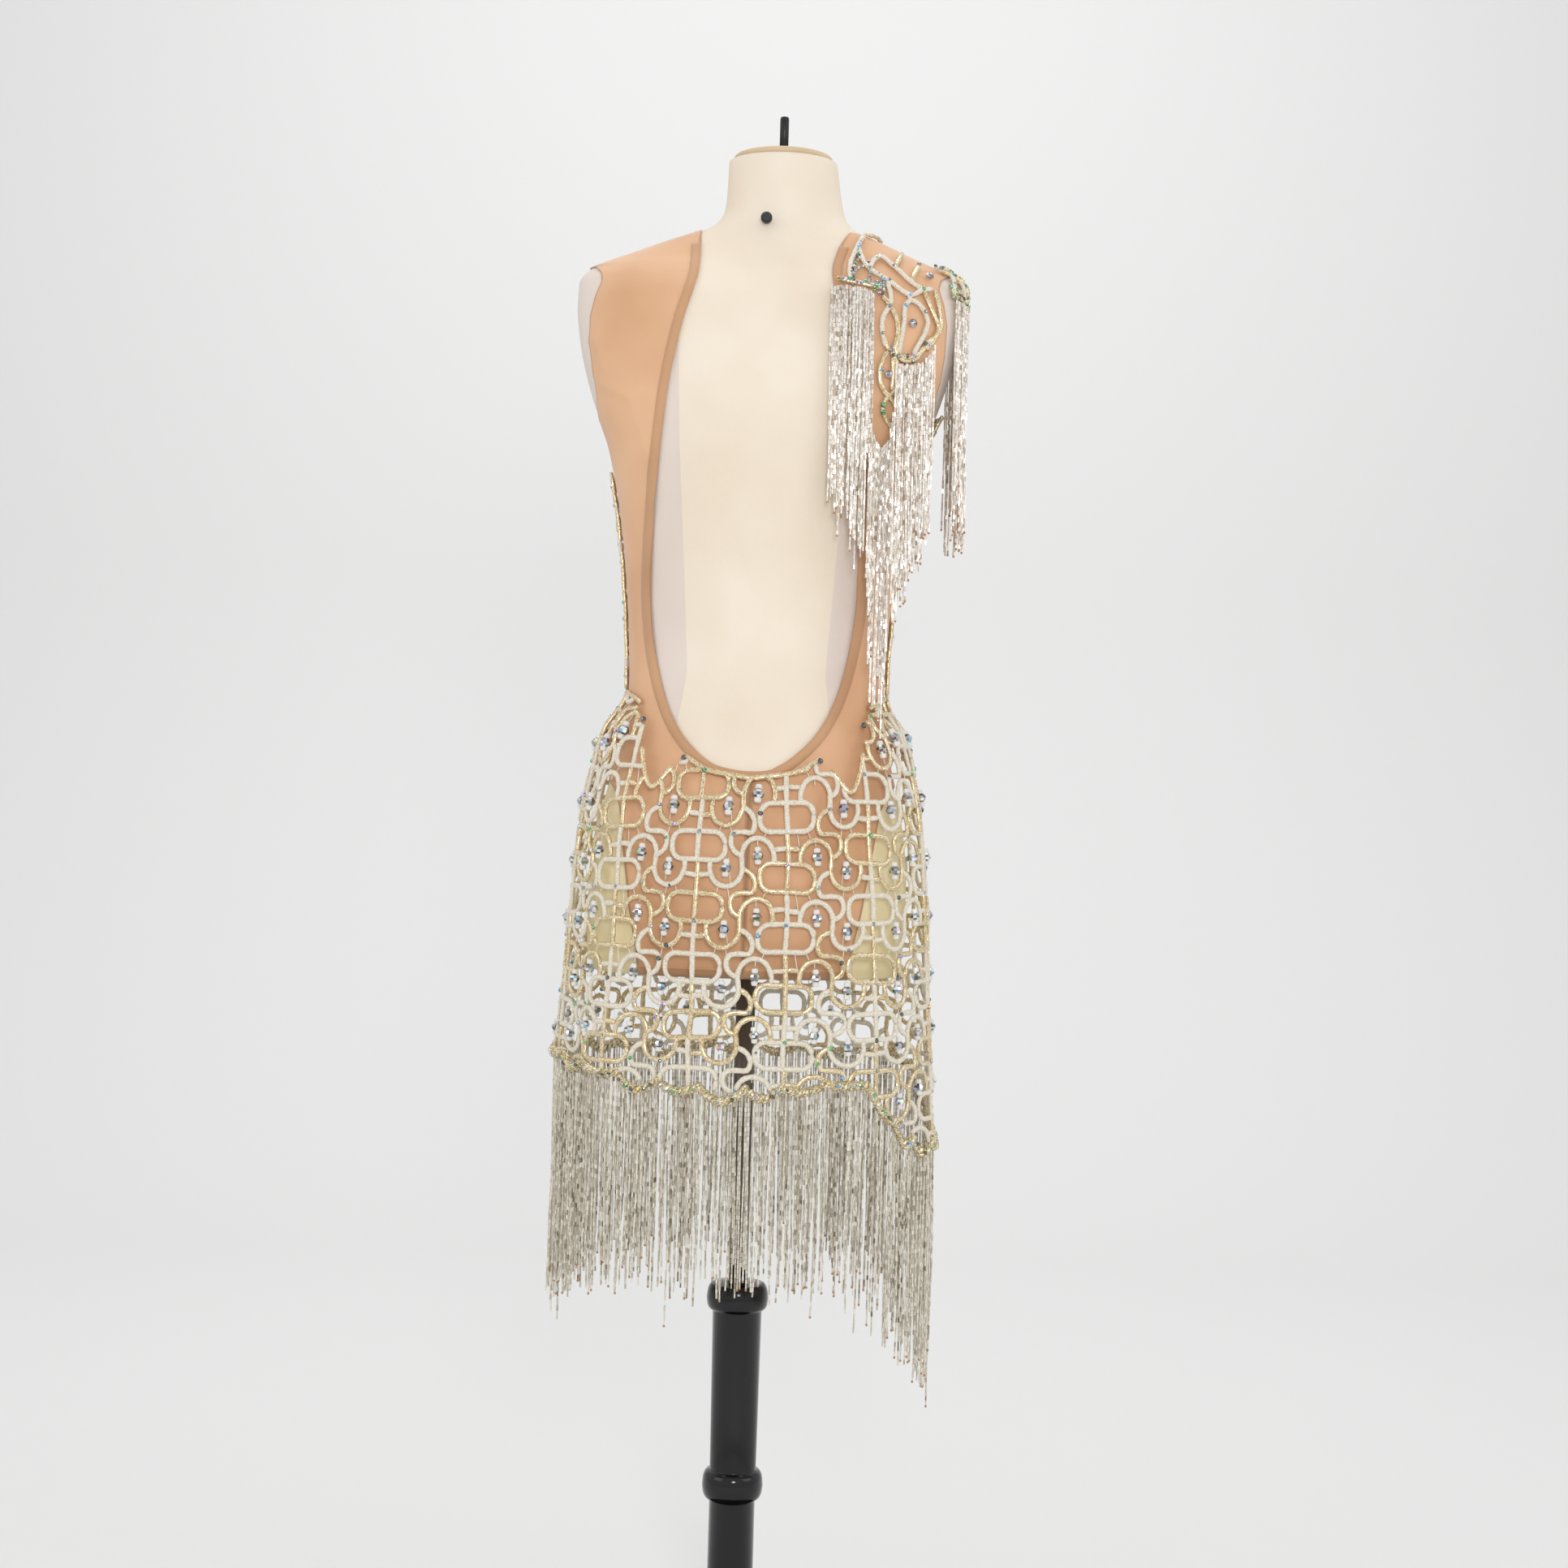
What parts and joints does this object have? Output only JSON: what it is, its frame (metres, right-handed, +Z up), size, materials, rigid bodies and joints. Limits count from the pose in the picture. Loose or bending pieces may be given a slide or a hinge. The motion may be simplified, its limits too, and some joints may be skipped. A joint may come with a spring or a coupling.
{
  "type": "flapper dress on a dress form",
  "caption": "One-shouldered flapper dress of corded lattice and bead fringe over a nude mesh bodysuit, worn by a limbless dress form on a turned stand.",
  "frame": {"origin": "on the floor, at the centre of the base plate's underside, under the post", "axes": "+Z up along the post; the wearer faces -Y, so +Y is the open back and +X is the wearer's left"},
  "size_m": [0.3879, 0.37, 1.5376],
  "materials": {
    "gloss_black": "gloss black lacquer",
    "pole_steel": "dull steel tube",
    "dark_metal": "dark satin metal",
    "neck_wood": "pale satin wood",
    "form_cover": "cream woven cover, stretched smooth",
    "nude_mesh": "fine sheer stretch mesh",
    "ivory_cord": "satin corded lattice, lightly glossy",
    "gold_cord": "metallic gold glitter cord",
    "crystal": "faceted stones with a rainbow coating",
    "silver_bead": "silver-lined bugle beads",
    "champagne_bead": "champagne-lined bugle beads"
  },
  "bodies": {
    "root": {"base_plate": "gloss_black", "post": "gloss_black", "pole": "pole_steel", "form_torso": "form_cover", "neck_cap": "neck_wood", "top_rod": "dark_metal", "nape_knob": "dark_metal", "suit_front": "nude_mesh", "suit_back_left": "nude_mesh", "suit_back_right": "nude_mesh", "binding_scoop": "nude_mesh", "skirt_left": "ivory_cord", "skirt_back": "ivory_cord", "skirt_right": "ivory_cord", "skirt_front": "ivory_cord", "bodice_front": "ivory_cord", "yoke_back": "ivory_cord", "epaulette": "ivory_cord", "drop_motif": "gold_cord", "fringe_hem_left": "champagne_bead", "fringe_hem_back": "champagne_bead", "fringe_hem_right": "champagne_bead", "fringe_hem_front": "champagne_bead", "fringe_shoulder_inner": "silver_bead", "fringe_shoulder_middle": "silver_bead", "fringe_shoulder_outer": "silver_bead"}
  },
  "joints": []
}
